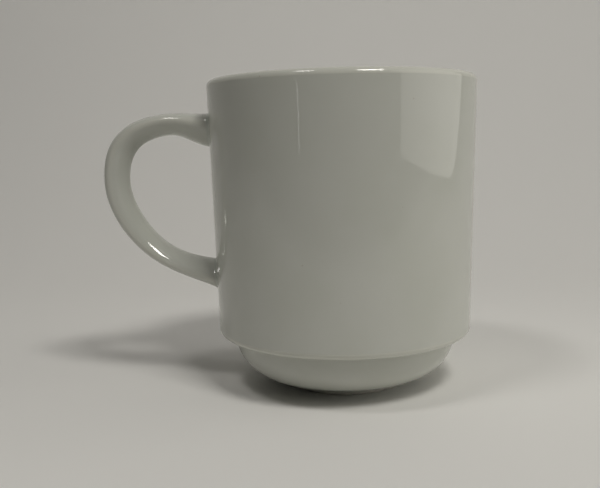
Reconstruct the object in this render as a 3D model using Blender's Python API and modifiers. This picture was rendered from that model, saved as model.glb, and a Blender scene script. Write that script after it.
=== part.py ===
"""Glazed ceramic stacking mug: a turned cup whose base steps in, and a separately cast loop handle.

Units are metres and +Z is up. The cup is turned about an upright axis, and the handle stands out from
it along -X. The origin is the middle of the whole mug's box, on the plane that the foot stands on.
"""

import math

import bmesh
import bpy
import numpy as np

# Driving dimensions of the cup.
CUP_HEIGHT = 0.094
LIP_RADIUS = 0.041              # outside of the wall, just under the lip
WALL_FOOT_RADIUS = 0.0393       # outside of the wall, just above the ledge
WALL_THICKNESS = 0.0038
LEDGE_HEIGHT = 0.016            # underside of the step that rests on the next mug's lip
LEDGE_CORNER = 0.0021           # rounding where the wall turns in under itself
BOWL_TOP_RADIUS = 0.0343        # outside of the bowl, just under the ledge
LEDGE_FILLET = 0.0009
BOWL_FOOT_RADIUS = 0.0203       # where the bowl meets the foot ring
BOWL_FOOT_HEIGHT = 0.0024
FOOT_OUTER_RADIUS = 0.0193
FOOT_INNER_RADIUS = 0.0168
FOOT_ROUNDING = 0.0008
UNDERSIDE_RECESS = 0.0018
FLOOR_HEIGHT = 0.0072           # inside floor above the foot plane
FLOOR_RADIUS = 0.010            # flat middle of the inside floor
INNER_BOWL_HEIGHT = 0.028       # where the inside wall starts to curve in

# Driving dimensions of the handle. Each point of its centre line is given by its distance from the
# cup's axis, its height, and the thickness of the handle there.
HANDLE_ROUTE = (
    (0.0375, 0.0792, 0.0112),
    (0.0430, 0.0798, 0.0097),
    (0.0495, 0.0812, 0.0073),
    (0.0560, 0.0812, 0.0068),
    (0.0633, 0.0789, 0.0073),
    (0.0687, 0.0737, 0.0079),
    (0.0707, 0.0660, 0.0079),
    (0.0696, 0.0577, 0.0078),
    (0.0651, 0.0492, 0.0074),
    (0.0583, 0.0422, 0.0068),
    (0.0505, 0.0379, 0.0068),
    (0.0430, 0.0355, 0.0079),
    (0.0375, 0.0341, 0.0096),
)
HANDLE_WIDTH_AT_WALL = 0.0140   # across the handle's middle, where it meets the cup
HANDLE_WIDTH_AT_BEND = 0.0094   # and at its far bend
HANDLE_BACK_WIDENING = 0.35     # share by which its back is wider than its middle, and its inside narrower
FINGER_HOLE = (0.053, 0.060)    # a place inside the loop: distance from the cup's axis, and height
JOINT_GAP = 0.0003              # between the cup and the handle

GLAZE_COLOUR = (0.58, 0.59, 0.545)
GLAZE_ROUGHNESS = 0.08

# How finely round shapes are divided.
TURN_STEPS = 64
HANDLE_ROUTE_STEPS = 4
HANDLE_BEVEL_STEPS = 6
MERGE_DISTANCE = 0.00001
SMOOTH_ANGLE = math.radians(40)

# The handle reaches further from the cup's axis than the wall does, so the axis is off the origin.
HANDLE_REACH = max(reach + thickness / 2 for reach, _, thickness in HANDLE_ROUTE)
CUP_AXIS_X = (HANDLE_REACH - LIP_RADIUS) / 2


def clear_scene():
    for old in list(bpy.data.objects):
        bpy.data.objects.remove(old)


def new_collection(name):
    collection = bpy.data.collections.new(name)
    bpy.context.scene.collection.children.link(collection)
    return collection


def new_material(name, colour, roughness):
    material = bpy.data.materials.new(name)
    material.use_nodes = True
    shader = material.node_tree.nodes["Principled BSDF"]
    shader.inputs["Base Color"].default_value = (*colour, 1.0)
    shader.inputs["Roughness"].default_value = roughness
    shader.inputs["Metallic"].default_value = 0.0
    return material


def arc(centre, radii, start, end, steps):
    """Points (radius, height) on an arc of an ellipse, from one angle in degrees to another."""
    points = []
    for step in range(steps + 1):
        angle = math.radians(start + (end - start) * step / steps)
        radius = centre[0] + radii[0] * math.cos(angle)
        height = centre[1] + radii[1] * math.sin(angle)
        points.append((radius, height))
    return points


def wall_radius(height):
    """Outside radius of the tapered wall."""
    taper = (LIP_RADIUS - WALL_FOOT_RADIUS) / (CUP_HEIGHT - LEDGE_HEIGHT)
    return WALL_FOOT_RADIUS + taper * (height - LEDGE_HEIGHT)


def inside_profile():
    """From the middle of the floor, out and up the inside of the cup to the lip."""
    side_radius = wall_radius(INNER_BOWL_HEIGHT) - WALL_THICKNESS
    bowl = arc((FLOOR_RADIUS, INNER_BOWL_HEIGHT),
               (side_radius - FLOOR_RADIUS, INNER_BOWL_HEIGHT - FLOOR_HEIGHT), -90, 0, 10)
    return [(0.0, FLOOR_HEIGHT)] + bowl


def lip_profile():
    """Over the rounded lip, from inside to outside."""
    half = WALL_THICKNESS / 2
    return arc((LIP_RADIUS - half, CUP_HEIGHT - half), (half, half), 180, 0, 8)


def outside_profile():
    """Down the wall, in under the ledge, round the bowl and over the foot ring to the axis."""
    corner_height = LEDGE_HEIGHT + LEDGE_CORNER
    corner_radius = wall_radius(corner_height) - LEDGE_CORNER
    corner = arc((corner_radius, corner_height), (LEDGE_CORNER, LEDGE_CORNER), 0, -90, 5)

    fillet_height = LEDGE_HEIGHT - LEDGE_FILLET
    fillet = arc((BOWL_TOP_RADIUS + LEDGE_FILLET, fillet_height), (LEDGE_FILLET, LEDGE_FILLET), 90, 180, 3)

    bowl_radii = (BOWL_TOP_RADIUS - BOWL_FOOT_RADIUS, fillet_height - BOWL_FOOT_HEIGHT)
    bowl = arc((BOWL_FOOT_RADIUS, fillet_height), bowl_radii, -10, -90, 9)

    outer_edge = arc((FOOT_OUTER_RADIUS - FOOT_ROUNDING, FOOT_ROUNDING),
                     (FOOT_ROUNDING, FOOT_ROUNDING), 0, -90, 2)
    inner_edge = arc((FOOT_INNER_RADIUS + FOOT_ROUNDING, FOOT_ROUNDING),
                     (FOOT_ROUNDING, FOOT_ROUNDING), -90, -180, 2)
    foot_top = [(FOOT_OUTER_RADIUS, BOWL_FOOT_HEIGHT)]
    underside = [(FOOT_INNER_RADIUS, UNDERSIDE_RECESS), (0.0, UNDERSIDE_RECESS)]
    return corner + fillet + bowl + foot_top + outer_edge + inner_edge + underside


def turned_object(name, profile, collection):
    """A profile of (radius, height) points turned about the upright axis."""
    mesh = bpy.data.meshes.new(name)
    points = [(radius, 0.0, height) for radius, height in profile]
    mesh.from_pydata(points, [(i, i + 1) for i in range(len(points) - 1)], [])
    turned = bpy.data.objects.new(name, mesh)
    collection.objects.link(turned)
    screw = turned.modifiers.new("Turn", "SCREW")
    screw.axis = "Z"
    screw.angle = math.tau
    screw.steps = TURN_STEPS
    screw.render_steps = TURN_STEPS
    screw.use_merge_vertices = True
    screw.merge_threshold = MERGE_DISTANCE
    return turned


def make_cup(collection, cup_axis, material):
    profile = inside_profile() + lip_profile() + outside_profile()
    cup = turned_object("mug_body", profile, collection)
    cup.parent = cup_axis
    cup.data.materials.append(material)
    return cup


def handle_curve(collection):
    """The handle as a tapering tube along its centre line, running into the cup at both ends.

    The bevel is one unit across, so the radius of each point is the handle's thickness there.
    """
    curve = bpy.data.curves.new("handle_route", "CURVE")
    curve.dimensions = "3D"
    curve.resolution_u = HANDLE_ROUTE_STEPS
    curve.bevel_depth = 0.5
    curve.bevel_resolution = HANDLE_BEVEL_STEPS
    curve.use_fill_caps = True
    spline = curve.splines.new("BEZIER")
    spline.radius_interpolation = "CARDINAL"
    spline.bezier_points.add(len(HANDLE_ROUTE) - 1)
    for point, (reach, height, thickness) in zip(spline.bezier_points, HANDLE_ROUTE):
        point.co = (-reach, 0.0, height)
        point.handle_left_type = "AUTO"
        point.handle_right_type = "AUTO"
        point.radius = thickness
    tube = bpy.data.objects.new("handle_route", curve)
    collection.objects.link(tube)
    bpy.context.view_layer.update()
    return tube


def handle_width(reach):
    """Width across the handle's middle, which grows evenly from its far bend to the wall."""
    share = (reach - LIP_RADIUS) / (HANDLE_REACH - LIP_RADIUS)
    return HANDLE_WIDTH_AT_WALL + (HANDLE_WIDTH_AT_BEND - HANDLE_WIDTH_AT_WALL) * share


def shape_handle_section(mesh):
    """Turn the tube's round rings into egg shapes of the handle's width, the broad end at its back."""
    sides = 4 + 2 * HANDLE_BEVEL_STEPS
    places = np.empty(len(mesh.vertices) * 3)
    mesh.vertices.foreach_get("co", places)
    rings = places.reshape(-1, sides, 3)
    centres = rings.mean(axis=1, keepdims=True)
    radii = np.ptp(rings[..., 1], axis=1)[:, None] / 2
    across = np.clip(rings[..., 1] / radii, -1.0, 1.0)

    hole = np.array((-FINGER_HOLE[0], 0.0, FINGER_HOLE[1]))
    in_plane = np.array((1.0, 0.0, 1.0))
    from_hole = np.linalg.norm((rings - hole) * in_plane, axis=-1)
    centre_from_hole = np.linalg.norm((centres - hole) * in_plane, axis=-1)
    backward = np.sign(from_hole - centre_from_hole) * np.sqrt(1.0 - across ** 2)
    widths = handle_width(-centres[..., 0])
    rings[..., 1] = across * widths / 2 * (1.0 + HANDLE_BACK_WIDENING * backward)
    mesh.vertices.foreach_set("co", rings.ravel())


def curve_to_mesh_object(tube, name, collection):
    """Replace the handle's curve object with a mesh object, its rings made to their true section."""
    evaluated = tube.evaluated_get(bpy.context.evaluated_depsgraph_get())
    mesh = bpy.data.meshes.new_from_object(evaluated)
    shape_handle_section(mesh)
    shape = bmesh.new()
    shape.from_mesh(mesh)
    bmesh.ops.remove_doubles(shape, verts=shape.verts, dist=MERGE_DISTANCE)
    shape.to_mesh(mesh)
    shape.free()
    solid = bpy.data.objects.new(name, mesh)
    collection.objects.link(solid)
    bpy.data.objects.remove(tube)
    return solid


def make_wall_cutter(collection, cup_axis):
    """A solid cone just outside the cup's wall, which trims the handle's ends to fit it."""
    profile = [(0.0, CUP_HEIGHT), (wall_radius(CUP_HEIGHT) + JOINT_GAP, CUP_HEIGHT),
               (wall_radius(0.0) + JOINT_GAP, 0.0), (0.0, 0.0)]
    cutter = turned_object("wall_cutter", profile, collection)
    cutter.parent = cup_axis
    cutter.hide_render = True
    cutter.display_type = "WIRE"
    return cutter


def make_handle(collection, cutter, cup_axis, material):
    handle = curve_to_mesh_object(handle_curve(collection), "handle", collection)
    handle.parent = cup_axis
    trim = handle.modifiers.new("Trim to the wall", "BOOLEAN")
    trim.operation = "DIFFERENCE"
    trim.object = cutter
    handle.data.materials.clear()
    handle.data.materials.append(material)
    return handle


def shade_round(piece):
    piece.data.shade_smooth()
    piece.data.set_sharp_from_angle(angle=SMOOTH_ANGLE)


def main():
    clear_scene()
    parts = new_collection("stacking_mug")
    guides = new_collection("guides")
    cup_axis = bpy.data.objects.new("cup_axis", None)
    cup_axis.location.x = CUP_AXIS_X
    guides.objects.link(cup_axis)

    body_glaze = new_material("body_glaze", GLAZE_COLOUR, GLAZE_ROUGHNESS)
    handle_glaze = new_material("handle_glaze", GLAZE_COLOUR, GLAZE_ROUGHNESS)

    cup = make_cup(parts, cup_axis, body_glaze)
    cutter = make_wall_cutter(guides, cup_axis)
    handle = make_handle(parts, cutter, cup_axis, handle_glaze)
    for piece in (cup, handle):
        shade_round(piece)


main()
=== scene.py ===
"""Looks of the stacking mug: its glazed cup and loop handle, in plain soft studio light.

Units are metres, in the CAD model's frame. Lengths named below are the part's own.
"""

import math

import bpy
import numpy as np
from mathutils import Matrix, Vector


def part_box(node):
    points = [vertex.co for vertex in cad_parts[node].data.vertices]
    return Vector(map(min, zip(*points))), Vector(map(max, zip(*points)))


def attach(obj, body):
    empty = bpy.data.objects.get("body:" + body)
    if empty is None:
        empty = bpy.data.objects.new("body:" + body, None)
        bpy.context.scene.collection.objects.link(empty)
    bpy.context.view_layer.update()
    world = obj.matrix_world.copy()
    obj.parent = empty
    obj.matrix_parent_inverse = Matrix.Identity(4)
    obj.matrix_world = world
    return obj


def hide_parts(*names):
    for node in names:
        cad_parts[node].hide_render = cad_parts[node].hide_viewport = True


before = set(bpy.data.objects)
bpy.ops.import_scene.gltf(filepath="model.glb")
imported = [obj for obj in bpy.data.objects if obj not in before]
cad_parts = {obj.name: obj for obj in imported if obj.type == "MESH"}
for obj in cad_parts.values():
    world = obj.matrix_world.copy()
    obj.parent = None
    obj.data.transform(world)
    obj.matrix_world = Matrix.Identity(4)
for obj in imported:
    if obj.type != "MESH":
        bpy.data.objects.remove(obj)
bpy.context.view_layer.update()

# The cup's place and overall size, from the frame.
cup_low, cup_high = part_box("mug_body")
AXIS_X = (cup_low.x + cup_high.x) / 2
LIP_RADIUS = (cup_high.x - cup_low.x) / 2
CUP_HEIGHT = cup_high.z

# The cup's own dimensions, the same as the CAD part's.
WALL_FOOT_RADIUS = 0.0393
WALL_THICKNESS = 0.0038
LEDGE_HEIGHT = 0.016
LEDGE_CORNER = 0.0021
BOWL_TOP_RADIUS = 0.0343
LEDGE_FILLET = 0.0009
BOWL_FOOT_RADIUS = 0.0203
BOWL_FOOT_HEIGHT = 0.0024
FOOT_OUTER_RADIUS = 0.0193
FOOT_INNER_RADIUS = 0.0168
FOOT_ROUNDING = 0.0008
FOOT_FILLET = 0.0006
UNDERSIDE_RECESS = 0.0018
FLOOR_HEIGHT = 0.0072
FLOOR_RADIUS = 0.010
INNER_BOWL_HEIGHT = 0.028

# The glaze: how thick it is, and how high the clay of the foot is left bare.
GLAZE = 0.00008
BARE_HEIGHT = 0.0009
UNEVENNESS = 0.00006            # most by which the fired surface dips under its true shape
GLAZE_FLOW = 0.0025             # how readily it runs off edges into hollows: a radius of bend, in metres

# The handle's centre line: distance from the cup's axis, height, and thickness there.
HANDLE_ROUTE = (
    (0.0375, 0.0792, 0.0112),
    (0.0430, 0.0798, 0.0097),
    (0.0495, 0.0812, 0.0073),
    (0.0560, 0.0812, 0.0068),
    (0.0633, 0.0789, 0.0073),
    (0.0687, 0.0737, 0.0079),
    (0.0707, 0.0660, 0.0079),
    (0.0696, 0.0577, 0.0078),
    (0.0651, 0.0492, 0.0074),
    (0.0583, 0.0422, 0.0068),
    (0.0505, 0.0379, 0.0068),
    (0.0430, 0.0355, 0.0079),
    (0.0375, 0.0341, 0.0096),
)
HANDLE_REACH = max(reach + thickness / 2 for reach, _, thickness in HANDLE_ROUTE)
HANDLE_WIDTH_AT_WALL = 0.0140   # across the handle's middle, where it meets the cup
HANDLE_WIDTH_AT_BEND = 0.0094   # and at its far bend
HANDLE_BACK_WIDENING = 0.35     # share by which its back is wider than its middle, and its inside narrower
SLIP_FILLET = 0.0009            # rounding of slip and glaze where the handle meets the wall
FILLET_SINK = 0.00002           # how far the fillet's edge lies under the wall's surface
FILLET_BURIED = 0.0006          # and how deep its last row is buried in the wall
SEAM_RIDGE = 0.00004            # what is left of the mould seam along the handle's middle
SEAM_SPREAD = 0.12              # half width of that ridge, as the sine of an angle round the section

# How finely the meshes are divided.
TURN_STEPS = 256
HANDLE_SIDES = 56
HANDLE_ROWS = 150
HANDLE_SAMPLES = 1200           # points along each line from which the rows are picked
FILLET_ROWS = 8
COVE_STEPS = 48

# Marks and unevenness of the glaze: lengths in metres, and the share of places that have a mark.
CLOUD_SIZE = 0.022
SPECK_SPACING = 0.005
SPECK_RADIUS = 0.00022
SPECK_SHARE = 0.35
SPECK_STRENGTH = 0.55
PINHOLE_SPACING = 0.0065
PINHOLE_RADIUS = 0.00025
PINHOLE_SHARE = 0.30
PINHOLE_DEPTH = 0.00004
RIPPLE_SIZE = 0.008
RIPPLE_DEPTH = 0.000008
PEEL_SIZE = 0.0022
PEEL_DEPTH = 0.0000015
GLOSS_PATCH_SIZE = 0.009
GLOSSIEST = 0.02                # roughness
LEAST_GLOSSY = 0.05
GLAZE_IOR = 1.6

# Colours, and the tints that the glaze takes where it lies thin, deep or cloudy.
GLAZE_COLOUR = (0.58, 0.59, 0.545)
THIN_TINT = (1.10, 1.09, 1.07)
DEEP_TINT = (0.90, 0.925, 0.91)
CLOUD_TINT = (0.965, 0.97, 0.955)
IRON_SPECK = (0.30, 0.22, 0.14)
LIGHT_CLAY = (0.74, 0.72, 0.66)
DARK_CLAY = (0.66, 0.63, 0.57)
RUBBED_CLAY = (0.55, 0.53, 0.50)
PALE_PAPER = (0.85, 0.845, 0.825)
# Painted shade: the colour of the sweep's far front, standing in for the dim room in front of the mug.
DIM_ROOM_PAINTED_SHADE = (0.25, 0.25, 0.245)

# Bare clay: its grain and the patches where it is rubbed, in metres, and how rough it is.
GRAIN_SIZE = 0.0003
GRAIN_DEPTH = 0.00006
RUBBED_PATCH_SIZE = 0.006
CLAY_ROUGHNESS = 0.85

# The paper sweep: flat from its front to the cove, then up to its top. It is pale down to one depth in
# front of the mug and painted fully dark from another: painted shade, a stand-in for the dim room that the
# glaze mirrors.
SWEEP_HALF_WIDTH = 6.0
SWEEP_FRONT = -6.0
SWEEP_TOP = 2.5
COVE_START = 0.16
COVE_RADIUS = 0.29
PALE_TO = -0.19
PAINTED_SHADE_FROM = -0.32
WORLD_LIGHT = 0.003

# Camera, seen from the cup's axis at the foot.
CAMERA_DISTANCE = 0.24435
CAMERA_HEIGHT = 0.07464
CAMERA_PITCH_DOWN = 7.325
CAMERA_TURN_LEFT = 3.171
CAMERA_ROLL = -1.255
CAMERA_LENS = 46.89


# ---------------------------------------------------------------- profile of the cup

def line(start, end, steps):
    """Points from start to end, without the end point."""
    start, end = np.array(start), np.array(end)
    return [tuple(start + (end - start) * step / steps) for step in range(steps)]


def arc(centre, radii, start, end, steps):
    """Points (radius, height) on an arc of an ellipse, angles in degrees, without the end point."""
    points = []
    for step in range(steps):
        angle = math.radians(start + (end - start) * step / steps)
        points.append((centre[0] + radii[0] * math.cos(angle), centre[1] + radii[1] * math.sin(angle)))
    return points


def wall_radius(height):
    """Outside radius of the tapered wall."""
    taper = (LIP_RADIUS - WALL_FOOT_RADIUS) / (CUP_HEIGHT - LEDGE_HEIGHT)
    return WALL_FOOT_RADIUS + taper * (height - LEDGE_HEIGHT)


def wall_lean():
    """Angle in degrees by which the wall leans outward."""
    return math.degrees(math.atan((LIP_RADIUS - WALL_FOOT_RADIUS) / (CUP_HEIGHT - LEDGE_HEIGHT)))


def inside_profile():
    """From the middle of the floor, out and up the inside of the cup."""
    side_radius = wall_radius(INNER_BOWL_HEIGHT) - WALL_THICKNESS
    bowl_radii = (side_radius - FLOOR_RADIUS, INNER_BOWL_HEIGHT - FLOOR_HEIGHT)
    lip_foot = (LIP_RADIUS - WALL_THICKNESS, CUP_HEIGHT - WALL_THICKNESS / 2)
    return (line((0.0, FLOOR_HEIGHT), (FLOOR_RADIUS, FLOOR_HEIGHT), 10)
            + arc((FLOOR_RADIUS, INNER_BOWL_HEIGHT), bowl_radii, -90, 0, 40)
            + line((side_radius, INNER_BOWL_HEIGHT), lip_foot, 24))


def lip_profile():
    """Over the rounded lip, from inside to outside."""
    half = WALL_THICKNESS / 2
    return arc((LIP_RADIUS - half, CUP_HEIGHT - half), (half, half), 180, -wall_lean(), 32)


def wall_profile():
    """Down the wall, and round its lower corner to the ledge."""
    half = WALL_THICKNESS / 2
    lean = math.radians(wall_lean())
    corner_height = LEDGE_HEIGHT + LEDGE_CORNER
    corner_radius = wall_radius(corner_height) - LEDGE_CORNER
    top = (LIP_RADIUS - half + half * math.cos(lean), CUP_HEIGHT - half - half * math.sin(lean))
    bottom = (corner_radius + LEDGE_CORNER * math.cos(lean), corner_height - LEDGE_CORNER * math.sin(lean))
    return (line(top, bottom, 44)
            + arc((corner_radius, corner_height), (LEDGE_CORNER, LEDGE_CORNER), -wall_lean(), -90, 16))


def bowl_profile():
    """Along the ledge, round the fillet under it, and down the bowl to the foot ring's fillet."""
    corner_radius = wall_radius(LEDGE_HEIGHT + LEDGE_CORNER) - LEDGE_CORNER
    fillet_height = LEDGE_HEIGHT - LEDGE_FILLET
    fillet_centre = (BOWL_TOP_RADIUS + LEDGE_FILLET, fillet_height)
    bowl_radii = (BOWL_TOP_RADIUS - BOWL_FOOT_RADIUS, fillet_height - BOWL_FOOT_HEIGHT)
    foot_fillet_centre = (FOOT_OUTER_RADIUS + FOOT_FILLET, BOWL_FOOT_HEIGHT - FOOT_FILLET)
    return (line((corner_radius, LEDGE_HEIGHT), (fillet_centre[0], LEDGE_HEIGHT), 4)
            + arc(fillet_centre, (LEDGE_FILLET, LEDGE_FILLET), 90, 180, 8)
            + arc((BOWL_FOOT_RADIUS, fillet_height), bowl_radii, 0, -90, 30)
            + arc(foot_fillet_centre, (FOOT_FILLET, FOOT_FILLET), 90, 180, 6))


def foot_profile():
    """Down and over the foot ring, whose clay is bare below the glaze line, to the axis."""
    bare_outer = FOOT_OUTER_RADIUS - GLAZE
    bare_inner = FOOT_INNER_RADIUS + GLAZE
    outer_centre = (bare_outer - FOOT_ROUNDING, FOOT_ROUNDING)
    inner_centre = (bare_inner + FOOT_ROUNDING, FOOT_ROUNDING)
    rounding = (FOOT_ROUNDING, FOOT_ROUNDING)
    glaze_edge = (GLAZE, GLAZE)
    recess_corner = (FOOT_INNER_RADIUS - FOOT_FILLET, UNDERSIDE_RECESS - FOOT_FILLET)
    side_top = (FOOT_OUTER_RADIUS, BOWL_FOOT_HEIGHT - FOOT_FILLET)
    return (line(side_top, (FOOT_OUTER_RADIUS, BARE_HEIGHT + GLAZE), 3)
            + arc((bare_outer, BARE_HEIGHT + GLAZE), glaze_edge, 0, -90, 3)
            + line((bare_outer, BARE_HEIGHT), (bare_outer, FOOT_ROUNDING), 1)
            + arc(outer_centre, rounding, 0, -90, 5)
            + line((outer_centre[0], 0.0), (inner_centre[0], 0.0), 5)
            + arc(inner_centre, rounding, -90, -180, 5)
            + line((bare_inner, FOOT_ROUNDING), (bare_inner, BARE_HEIGHT), 1)
            + arc((bare_inner, BARE_HEIGHT + GLAZE), glaze_edge, 270, 180, 3)
            + line((FOOT_INNER_RADIUS, BARE_HEIGHT + GLAZE), (FOOT_INNER_RADIUS, recess_corner[1]), 2)
            + arc(recess_corner, (FOOT_FILLET, FOOT_FILLET), 0, 90, 5)
            + line((recess_corner[0], UNDERSIDE_RECESS), (0.0, UNDERSIDE_RECESS), 12)
            + [(0.0, UNDERSIDE_RECESS)])


# ---------------------------------------------------------------- cup mesh

def waviness(points):
    """Slow unevenness of a fired and glazed surface at each point, from 0 to -1."""
    x, y, z = (points * 1000.0).T
    around = np.arctan2(y, x)
    slow = np.sin(2 * around + 0.6) + 0.5 * np.sin(3 * around + z / 26.0 + 1.9)
    ripple = np.sin(x / 5.3 + 1.3 * np.sin(z / 9.1)) * np.sin(y / 6.1 + 0.4) + np.sin(z / 7.7 + 2 * around)
    return (slow / 3.0 + ripple / 6.0 - 1.0) / 2.0


def turned_mesh(name, profile):
    """A closed mesh of the profile turned about the cup's axis, its surface slightly uneven."""
    rings = np.array(profile[1:-1])
    angles = np.arange(TURN_STEPS) * math.tau / TURN_STEPS
    circle = np.stack([np.cos(angles), np.sin(angles)], axis=-1)
    points = np.empty((len(rings), TURN_STEPS, 3))
    points[..., :2] = rings[:, None, 0:1] * circle[None]
    points[..., 2] = rings[:, 1:2]
    points = points.reshape(-1, 3)

    # The unevenness fades out towards the foot, which is ground flat, and it only moves the wall inward.
    depth = UNEVENNESS * waviness(points) * np.clip(points[:, 2] / LEDGE_HEIGHT - 0.2, 0.0, 1.0)
    reach = np.hypot(points[:, 0], points[:, 1])
    points[:, :2] *= (1.0 + depth / reach)[:, None]
    points[:, 0] += AXIS_X
    ends = [(AXIS_X, 0.0, profile[0][1]), (AXIS_X, 0.0, profile[-1][1])]
    vertices = [tuple(p) for p in points] + ends

    first_pole, last_pole = len(points), len(points) + 1
    faces = []
    for step in range(TURN_STEPS):
        after = (step + 1) % TURN_STEPS
        faces.append((first_pole, step, after))
        for ring in range(len(rings) - 1):
            row, below = ring * TURN_STEPS, (ring + 1) * TURN_STEPS
            faces.append((row + step, below + step, below + after, row + after))
        row = (len(rings) - 1) * TURN_STEPS
        faces.append((row + after, row + step, last_pole))
    mesh = bpy.data.meshes.new(name)
    mesh.from_pydata(vertices, [], faces)
    mesh.shade_smooth()
    return mesh


def new_piece(name, mesh, *materials):
    piece = bpy.data.objects.new(name, mesh)
    bpy.context.scene.collection.objects.link(piece)
    for material in materials:
        mesh.materials.append(material)
    return piece


def make_cup(glaze, bare_clay):
    profile = inside_profile() + lip_profile() + wall_profile() + bowl_profile() + foot_profile()
    mesh = turned_mesh("glazed_cup", profile)
    add_glaze_depth(mesh)
    cup = new_piece("glazed_cup", mesh, glaze, bare_clay)
    for face in mesh.polygons:
        centre = face.center
        out = math.hypot(centre.x - AXIS_X, centre.y)
        on_foot = FOOT_INNER_RADIUS < out < FOOT_OUTER_RADIUS - GLAZE / 2
        face.material_index = 1 if on_foot and centre.z < BARE_HEIGHT + GLAZE / 4 else 0
    return cup


# ---------------------------------------------------------------- handle mesh

def smooth_curve(points, samples):
    """A curve with even curvature through the points: a cubic B-spline that passes through them."""
    points = np.array(points)
    count = len(points)
    weights = np.eye(count) * 4 / 6 + (np.eye(count, k=1) + np.eye(count, k=-1)) / 6
    weights[0, :2] = weights[-1, -2:] = 0.0
    weights[0, 0] = weights[-1, -1] = 1.0
    controls = np.linalg.solve(weights, points)
    controls = np.vstack([2 * controls[0] - controls[1], controls, 2 * controls[-1] - controls[-2]])
    place = np.linspace(0, count - 1, samples)
    span = np.minimum(place.astype(int), count - 2)
    t = (place - span)[:, None]
    shares = ((1 - t) ** 3, 3 * t ** 3 - 6 * t ** 2 + 4, -3 * t ** 3 + 3 * t ** 2 + 3 * t + 1, t ** 3)
    return sum(share * controls[span + i] for i, share in enumerate(shares)) / 6


def handle_width(reach):
    """Width across the handle's middle, which grows evenly from its far bend to the wall."""
    share = (reach - LIP_RADIUS) / (HANDLE_REACH - LIP_RADIUS)
    return HANDLE_WIDTH_AT_WALL + (HANDLE_WIDTH_AT_BEND - HANDLE_WIDTH_AT_WALL) * share


def handle_sides(samples):
    """Lines that run along the handle's surface, one for each side: an array (side, sample, xyz)."""
    route = smooth_curve(HANDLE_ROUTE, samples)
    centre = np.stack([-route[:, 0], np.zeros(samples), route[:, 1]], axis=-1)
    along = np.gradient(centre, axis=0)
    along /= np.linalg.norm(along, axis=1)[:, None]
    across = np.array([0.0, 1.0, 0.0])
    outward = np.cross(across, along)
    half = route[:, 2:3] / 2 - SEAM_RIDGE
    half_width = handle_width(route[:, 0:1]) / 2
    sides = []
    for side in range(HANDLE_SIDES):
        angle = math.tau * side / HANDLE_SIDES
        seam = SEAM_RIDGE * math.exp(-(math.sin(angle) / SEAM_SPREAD) ** 2)
        thick = (half + seam) * math.cos(angle)
        wide = half_width * math.sin(angle) * (1.0 + HANDLE_BACK_WIDENING * math.cos(angle))
        sides.append(centre + outward * thick + across * wide)
    return np.array(sides)


def off_wall(points):
    """Distance of points from the cup's outer wall, positive outside."""
    return np.hypot(points[..., 0], points[..., 1]) - wall_radius(points[..., 2])


def crossing(side, gap):
    """Sample position, counted from the start, where a line along the handle is gap off the wall."""
    distance = off_wall(side)
    first = int(np.argmax(distance > gap))
    low, high = distance[first - 1], distance[first]
    return first - 1 + (gap - low) / (high - low)


def sample_at(side, position):
    """Points of a line along the handle at fractional sample positions."""
    position = np.atleast_1d(position)
    return np.stack([np.interp(position, np.arange(len(side)), side[:, k]) for k in range(3)], axis=-1)


def on_wall(points, sink):
    """The points moved in or out to sit a given depth under the cup's wall."""
    radius = np.hypot(points[..., 0], points[..., 1])
    moved = points.copy()
    moved[..., :2] *= ((wall_radius(points[..., 2]) - sink) / radius)[..., None]
    return moved


def fillet_rows(start, meet):
    """Rows of points that curve from the handle's surface out onto the cup's wall."""
    around = np.roll(meet, -1, axis=0) - np.roll(meet, 1, axis=0)
    wall_normal = meet * np.array([1.0, 1.0, 0.0])
    outward = np.cross(around, wall_normal)
    outward /= np.linalg.norm(outward, axis=1)[:, None]
    if np.mean(np.sum(outward * (meet - meet.mean(axis=0)), axis=1)) < 0:
        outward = -outward
    end = on_wall(meet + outward * SLIP_FILLET, FILLET_SINK)
    rows = []
    for step in range(1, FILLET_ROWS + 1):
        t = step / FILLET_ROWS
        rows.append((1 - t) ** 2 * start + 2 * t * (1 - t) * meet + t ** 2 * end)
    rows.append(on_wall(end, FILLET_BURIED))
    return rows


def make_handle(glaze):
    sides = handle_sides(HANDLE_SAMPLES)
    starts = np.array([crossing(side, SLIP_FILLET) for side in sides])
    ends = np.array([HANDLE_SAMPLES - 1 - crossing(side[::-1], SLIP_FILLET) for side in sides])
    steps = np.linspace(0.0, 1.0, HANDLE_ROWS)
    middle = np.array([sample_at(side, a + (b - a) * steps) for side, a, b in zip(sides, starts, ends)])
    middle = list(np.swapaxes(middle, 0, 1))

    upper_meet = np.array([sample_at(side, crossing(side, 0.0))[0] for side in sides])
    lower_meet = np.array([sample_at(side[::-1], crossing(side[::-1], 0.0))[0] for side in sides])
    rows = fillet_rows(middle[0], upper_meet)[::-1] + middle + fillet_rows(middle[-1], lower_meet)

    count = len(rows)
    points = np.array(rows).reshape(-1, 3)
    points[:, 0] += AXIS_X
    faces = []
    for row in range(count - 1):
        for side in range(HANDLE_SIDES):
            after = (side + 1) % HANDLE_SIDES
            here, there = row * HANDLE_SIDES, (row + 1) * HANDLE_SIDES
            faces.append((here + side, here + after, there + after, there + side))
    faces.append(tuple(range(HANDLE_SIDES))[::-1])
    faces.append(tuple(range((count - 1) * HANDLE_SIDES, count * HANDLE_SIDES)))
    mesh = bpy.data.meshes.new("glazed_handle")
    mesh.from_pydata([tuple(p) for p in points], [], faces)
    mesh.shade_smooth()
    add_glaze_depth(mesh)
    return new_piece("glazed_handle", mesh, glaze)


# ---------------------------------------------------------------- materials

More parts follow.
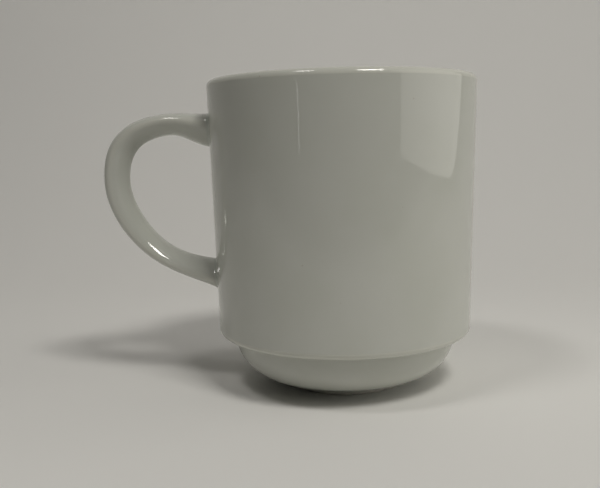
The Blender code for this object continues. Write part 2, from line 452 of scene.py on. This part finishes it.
def add_glaze_depth(mesh):
    """Store at each vertex how deep the glaze lies, from how the surface bends: 0 on edges, 1 in hollows."""
    count = len(mesh.vertices)
    places = np.empty(count * 3)
    normals = np.empty(count * 3)
    ends = np.empty(len(mesh.edges) * 2, dtype=int)
    mesh.vertices.foreach_get("co", places)
    mesh.vertices.foreach_get("normal", normals)
    mesh.edges.foreach_get("vertices", ends)
    places, normals = places.reshape(-1, 3), normals.reshape(-1, 3)
    first, second = ends.reshape(-1, 2).T
    bend = np.zeros(count)
    neighbours = np.zeros(count)
    for here, there in ((first, second), (second, first)):
        step = places[there] - places[here]
        rise = np.sum(normals[here] * step, axis=1)
        np.add.at(bend, here, 2.0 * rise / np.sum(step * step, axis=1))
        np.add.at(neighbours, here, 1.0)
    depth = 0.5 + 0.5 * np.tanh(bend / neighbours * GLAZE_FLOW)
    attribute = mesh.attributes.new("glaze_depth", "FLOAT", "POINT")
    attribute.data.foreach_set("value", depth)


def new_material(name):
    material = bpy.data.materials.new(name)
    material.use_nodes = True
    return material, material.node_tree, material.node_tree.nodes["Principled BSDF"]


def set_input(tree, socket, value):
    """Give an input a value, or link it to an output."""
    if isinstance(value, bpy.types.NodeSocket):
        tree.links.new(value, socket)
    else:
        socket.default_value = value


def add_node(tree, kind, inputs, **settings):
    """A shader node with its settings, and its inputs given by name as values or outputs."""
    node = tree.nodes.new(kind)
    for name, value in settings.items():
        setattr(node, name, value)
    for name, value in inputs.items():
        set_input(tree, node.inputs[name], value)
    return node


def noise(tree, place, size, detail=2.0, roughness=0.5):
    """Smooth noise from 0 to 1, with features of about the given size in metres."""
    inputs = {"Vector": place, "Scale": 1.0 / size, "Detail": detail, "Roughness": roughness}
    return add_node(tree, "ShaderNodeTexNoise", inputs).outputs["Fac"]


def ramp(tree, value, low, high, start=0.0, end=1.0):
    """The value's run from low to high, made to run smoothly from start to end."""
    inputs = {"Value": value, "From Min": low, "From Max": high, "To Min": start, "To Max": end}
    return add_node(tree, "ShaderNodeMapRange", inputs, interpolation_type="SMOOTHSTEP").outputs["Result"]


def blend(tree, factor, first, second):
    """One colour blended into another. Each is three numbers or an output."""
    first, second = ((*c, 1.0) if isinstance(c, tuple) else c for c in (first, second))
    inputs = {"Factor": factor, "A": first, "B": second}
    return add_node(tree, "ShaderNodeMix", inputs, data_type="RGBA").outputs["Result"]


def multiply(tree, first, second):
    node = add_node(tree, "ShaderNodeMath", {}, operation="MULTIPLY")
    set_input(tree, node.inputs[0], first)
    set_input(tree, node.inputs[1], second)
    return node.outputs["Value"]


def spots(tree, place, spacing, radius, share):
    """A factor that is 1 in small round spots, at most one to a cell of the spacing, in a share of them."""
    cells = add_node(tree, "ShaderNodeTexVoronoi", {"Vector": place, "Scale": 1.0 / spacing})
    inside = ramp(tree, cells.outputs["Distance"], radius / spacing, 0.4 * radius / spacing)
    pick = add_node(tree, "ShaderNodeSeparateColor", {"Color": cells.outputs["Color"]}).outputs["Red"]
    return multiply(tree, inside, ramp(tree, pick, share, share - 0.02))


def bumped(tree, height, depth, normal=None):
    """The surface's normal, tilted by a height from 0 to 1 that stands for a depth in metres."""
    inputs = {"Height": height, "Strength": 1.0, "Distance": depth}
    if normal is not None:
        inputs["Normal"] = normal
    return add_node(tree, "ShaderNodeBump", inputs).outputs["Normal"]


def tinted(colour, tint):
    return tuple(part * share for part, share in zip(colour, tint))


def make_glaze(name):
    """White gloss glaze: lighter where it is thin on edges, greyer where it has run deep into hollows,
    faintly mottled and specked, with the slow ripple and the few pinholes that firing leaves."""
    material, tree, shader = new_material(name)
    place = tree.nodes.new("ShaderNodeTexCoord").outputs["Object"]
    depth = add_node(tree, "ShaderNodeAttribute", {}, attribute_name="glaze_depth").outputs["Fac"]

    clouds = ramp(tree, noise(tree, place, CLOUD_SIZE, 3.0), 0.35, 0.70)
    body = blend(tree, clouds, GLAZE_COLOUR, tinted(GLAZE_COLOUR, CLOUD_TINT))
    body = blend(tree, ramp(tree, depth, 0.42, 0.15), body, tinted(GLAZE_COLOUR, THIN_TINT))
    body = blend(tree, ramp(tree, depth, 0.55, 0.90), body, tinted(GLAZE_COLOUR, DEEP_TINT))
    specks = multiply(tree, spots(tree, place, SPECK_SPACING, SPECK_RADIUS, SPECK_SHARE), SPECK_STRENGTH)
    tree.links.new(blend(tree, specks, body, IRON_SPECK), shader.inputs["Base Color"])

    gloss = ramp(tree, noise(tree, place, GLOSS_PATCH_SIZE, 2.0), 0.3, 0.7, GLOSSIEST, LEAST_GLOSSY)
    tree.links.new(gloss, shader.inputs["Roughness"])
    shader.inputs["IOR"].default_value = GLAZE_IOR

    ripple = bumped(tree, noise(tree, place, RIPPLE_SIZE, 1.0), RIPPLE_DEPTH)
    peel = bumped(tree, noise(tree, place, PEEL_SIZE, 2.0), PEEL_DEPTH, ripple)
    pinholes = spots(tree, place, PINHOLE_SPACING, PINHOLE_RADIUS, PINHOLE_SHARE)
    tree.links.new(bumped(tree, pinholes, -PINHOLE_DEPTH, peel), shader.inputs["Normal"])
    return material


def make_bare_clay():
    """Unglazed fired clay of the foot ring: matt, creamy and finely grained, and greyed where it rubs."""
    material, tree, shader = new_material("bare_clay")
    place = tree.nodes.new("ShaderNodeTexCoord").outputs["Object"]
    grain = noise(tree, place, GRAIN_SIZE, 4.0, 0.65)
    clay = blend(tree, grain, LIGHT_CLAY, DARK_CLAY)
    rubbed = ramp(tree, noise(tree, place, RUBBED_PATCH_SIZE, 3.0), 0.45, 0.70)
    tree.links.new(blend(tree, rubbed, clay, RUBBED_CLAY), shader.inputs["Base Color"])
    tree.links.new(bumped(tree, grain, GRAIN_DEPTH), shader.inputs["Normal"])
    shader.inputs["Roughness"].default_value = CLAY_ROUGHNESS
    return material


# ---------------------------------------------------------------- studio

def make_camera():
    camera = bpy.data.objects.new("camera", bpy.data.cameras.new("camera"))
    bpy.context.scene.collection.objects.link(camera)
    camera.data.lens = CAMERA_LENS
    camera.data.sensor_width = 36.0
    camera.data.clip_start = 0.01
    turn = Matrix.Rotation(math.radians(CAMERA_TURN_LEFT), 4, "Z")
    pitch = Matrix.Rotation(math.radians(90.0 - CAMERA_PITCH_DOWN), 4, "X")
    roll = Matrix.Rotation(math.radians(CAMERA_ROLL), 4, "Z")
    place = Matrix.Translation((AXIS_X, -CAMERA_DISTANCE, CAMERA_HEIGHT))
    camera.matrix_world = place @ turn @ pitch @ roll
    bpy.context.scene.camera = camera


def make_sweep():
    """A pale floor, with painted shade darkening it well in front of the mug, that curves up into a backdrop
    behind it.
    """
    outline = [(SWEEP_FRONT, 0.0)]
    for step in range(COVE_STEPS + 1):
        angle = math.radians(90.0 * step / COVE_STEPS)
        outline.append((COVE_START + COVE_RADIUS * math.sin(angle), COVE_RADIUS * (1 - math.cos(angle))))
    outline.append((COVE_START + COVE_RADIUS, SWEEP_TOP))
    vertices = [(x, y, z) for y, z in outline for x in (-SWEEP_HALF_WIDTH, SWEEP_HALF_WIDTH)]
    faces = [(2 * i, 2 * i + 1, 2 * i + 3, 2 * i + 2) for i in range(len(outline) - 1)]
    mesh = bpy.data.meshes.new("sweep")
    mesh.from_pydata(vertices, [], faces)
    mesh.shade_smooth()
    material, tree, shader = new_material("sweep")
    place = tree.nodes.new("ShaderNodeTexCoord").outputs["Object"]
    depth = add_node(tree, "ShaderNodeSeparateXYZ", {"Vector": place}).outputs["Y"]
    # Painted shade: the pale paper turns dark well in front of the mug, a stand-in for the dim room.
    paper_and_painted_shade = blend(tree, ramp(tree, depth, PALE_TO, PAINTED_SHADE_FROM), PALE_PAPER, DIM_ROOM_PAINTED_SHADE)
    tree.links.new(paper_and_painted_shade, shader.inputs["Base Color"])
    shader.inputs["Roughness"].default_value = 0.7
    shader.inputs["Specular IOR Level"].default_value = 0.2
    sweep = new_piece("sweep", mesh, material)


def make_lamp(name, place, target, size, power, colour, spread=180.0):
    """An area lamp at a place, aimed at a target, both from the cup's axis at the foot. Spread in degrees."""
    data = bpy.data.lights.new(name, "AREA")
    data.shape = "RECTANGLE"
    data.size, data.size_y = size
    data.energy = power
    data.color = colour
    data.spread = math.radians(spread)
    lamp = bpy.data.objects.new(name, data)
    bpy.context.scene.collection.objects.link(lamp)
    place, target = Vector(place), Vector(target)
    lamp.location = Vector((AXIS_X, 0.0, 0.0)) + place
    lamp.rotation_mode = "QUATERNION"
    lamp.rotation_quaternion = (place - target).to_track_quat("Z", "Y")
    lamp.visible_camera = False
    return lamp


# Place, target, width and height in metres, power in watts, colour, and spread where it is narrowed.
LAMPS = {
    "right_lamp": ((0.281, -0.433, 0.787), (0, 0, 0.05), (0.25, 0.155), 2.9, (1.0, 0.975, 0.92)),
    "left_lamp": ((-0.304, -0.267, 0.854), (0, 0, 0.05), (0.17, 0.14), 1.03, (1.0, 0.97, 0.93)),
    "top_light": ((0.0, 0.0, 1.3), (0, 0, 0.05), (1.6, 1.2), 0.55, (1.0, 0.975, 0.94)),
    "right_fill": ((0.9, -0.19, 0.46), (0, -0.19, 0.46), (1.22, 1.42), 2.65, (1.0, 0.97, 0.90), 125.0),
    "strip_light": ((-0.559, -0.829, 0.0725), (0, 0, 0.0725), (0.006, 0.105), 0.006, (1.0, 0.98, 0.95)),
}


def make_studio():
    make_camera()
    make_sweep()
    for name, settings in LAMPS.items():
        make_lamp(name, *settings)
    world = bpy.data.worlds.new("studio")
    world.use_nodes = True
    background = world.node_tree.nodes["Background"]
    background.inputs["Color"].default_value = (WORLD_LIGHT, WORLD_LIGHT, WORLD_LIGHT, 1.0)
    bpy.context.scene.world = world
    bpy.context.scene.view_settings.view_transform = "Standard"


def main():
    cup = make_cup(make_glaze("cup_glaze"), make_bare_clay())
    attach(cup, "root")
    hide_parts("mug_body")

    handle = make_handle(make_glaze("handle_glaze"))
    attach(handle, "root")
    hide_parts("handle")

    make_studio()


main()
